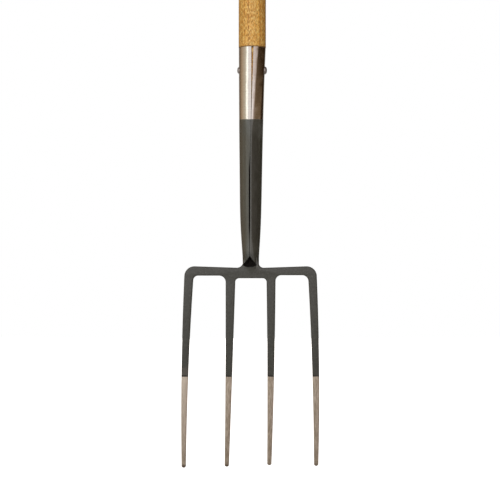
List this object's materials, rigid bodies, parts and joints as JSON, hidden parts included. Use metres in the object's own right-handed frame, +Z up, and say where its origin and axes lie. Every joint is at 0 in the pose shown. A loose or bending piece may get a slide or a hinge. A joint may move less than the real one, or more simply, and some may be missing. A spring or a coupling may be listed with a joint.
{
  "type": "digging fork",
  "caption": "Digging fork: forged tine head with a rolled open-seam socket, riveted on a split ash shaft with a turned cross grip.",
  "frame": {"origin": "level with the tip of the longest tine, midway between the outer tines and close under the shaft's axis", "axes": "+Z up the shaft to the grip, +X across the tines to the right seen from behind, +Y to the front, where the tines curve to"},
  "size_m": [0.1942, 0.0452, 1.08],
  "materials": {
    "forged_steel": "satin dark green-grey paint over forged steel, bare at the socket's mouth and the tine ends",
    "ash": "varnished ash, grain along the shaft",
    "ash_wedge": "varnished ash",
    "ash_grip": "varnished ash, turned, grain along the grip",
    "socket_rivet_steel": "bare, hammered over",
    "handle_rivet_steel": "bare, hammered over",
    "washer_steel": "bare pressed steel"
  },
  "bodies": {
    "root": {"fork_head": "forged_steel", "shaft": "ash", "crotch_wedge": "ash_wedge", "cross_grip": "ash_grip", "socket_rivet": "socket_rivet_steel", "grip_rivet": "handle_rivet_steel", "crotch_rivet": "handle_rivet_steel", "grip_washer_left": "washer_steel", "grip_washer_right": "washer_steel", "crotch_washer_left": "washer_steel", "crotch_washer_right": "washer_steel"}
  },
  "joints": []
}
